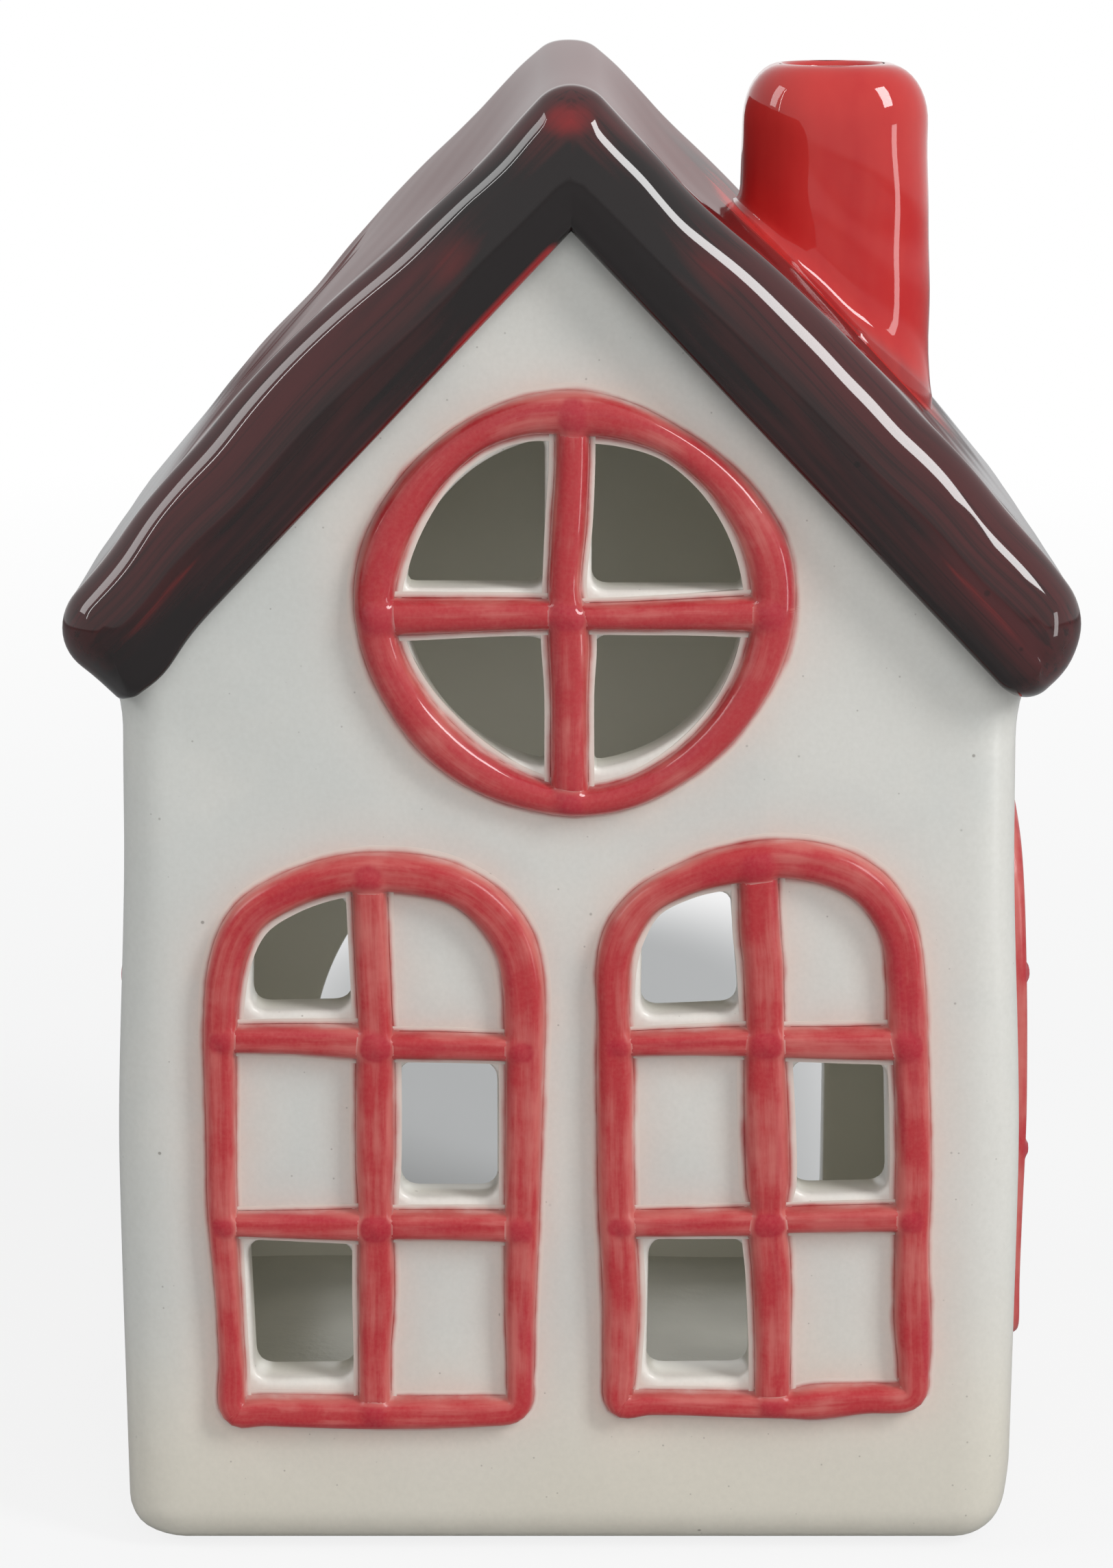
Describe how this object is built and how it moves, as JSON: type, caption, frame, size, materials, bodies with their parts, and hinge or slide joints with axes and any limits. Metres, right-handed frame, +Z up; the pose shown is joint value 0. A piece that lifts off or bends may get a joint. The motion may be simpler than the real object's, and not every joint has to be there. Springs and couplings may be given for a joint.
{
  "type": "ceramic christmas house",
  "caption": "Glazed ceramic house lantern with a steep gabled roof, a hollow chimney, raised red window frames with cut-through panes, and an arch at the back for a tealight.",
  "frame": {"origin": "middle of the house's box, on the surface it stands on", "axes": "+Z up, front with the two arched windows and the round window towards -Y, chimney towards +X"},
  "size_m": [0.0982, 0.086, 0.1463],
  "materials": {
    "white_glaze": "satin",
    "red_glaze": "gloss",
    "roof_glaze": "gloss",
    "chimney_glaze": "gloss"
  },
  "bodies": {
    "root": {"base_slab": "white_glaze", "front_wall": "white_glaze", "back_wall": "white_glaze", "left_wall": "white_glaze", "right_wall": "white_glaze", "left_roof_slab": "roof_glaze", "right_roof_slab": "roof_glaze", "chimney": "chimney_glaze", "round_window_ring": "red_glaze", "round_window_upright": "red_glaze", "round_window_left_bar": "red_glaze", "round_window_right_bar": "red_glaze", "front_left_window_frame": "red_glaze", "front_left_window_upright": "red_glaze", "front_left_window_lower_left_bar": "red_glaze", "front_left_window_lower_right_bar": "red_glaze", "front_left_window_upper_left_bar": "red_glaze", "front_left_window_upper_right_bar": "red_glaze", "front_right_window_frame": "red_glaze", "front_right_window_upright": "red_glaze", "front_right_window_lower_left_bar": "red_glaze", "front_right_window_lower_right_bar": "red_glaze", "front_right_window_upper_left_bar": "red_glaze", "front_right_window_upper_right_bar": "red_glaze", "right_side_window_frame": "red_glaze", "right_side_window_upright": "red_glaze", "right_side_window_lower_left_bar": "red_glaze", "right_side_window_lower_right_bar": "red_glaze", "right_side_window_upper_left_bar": "red_glaze", "right_side_window_upper_right_bar": "red_glaze", "left_side_window_frame": "red_glaze", "left_side_window_upright": "red_glaze", "left_side_window_lower_left_bar": "red_glaze", "left_side_window_lower_right_bar": "red_glaze", "left_side_window_upper_left_bar": "red_glaze", "left_side_window_upper_right_bar": "red_glaze"}
  },
  "joints": []
}
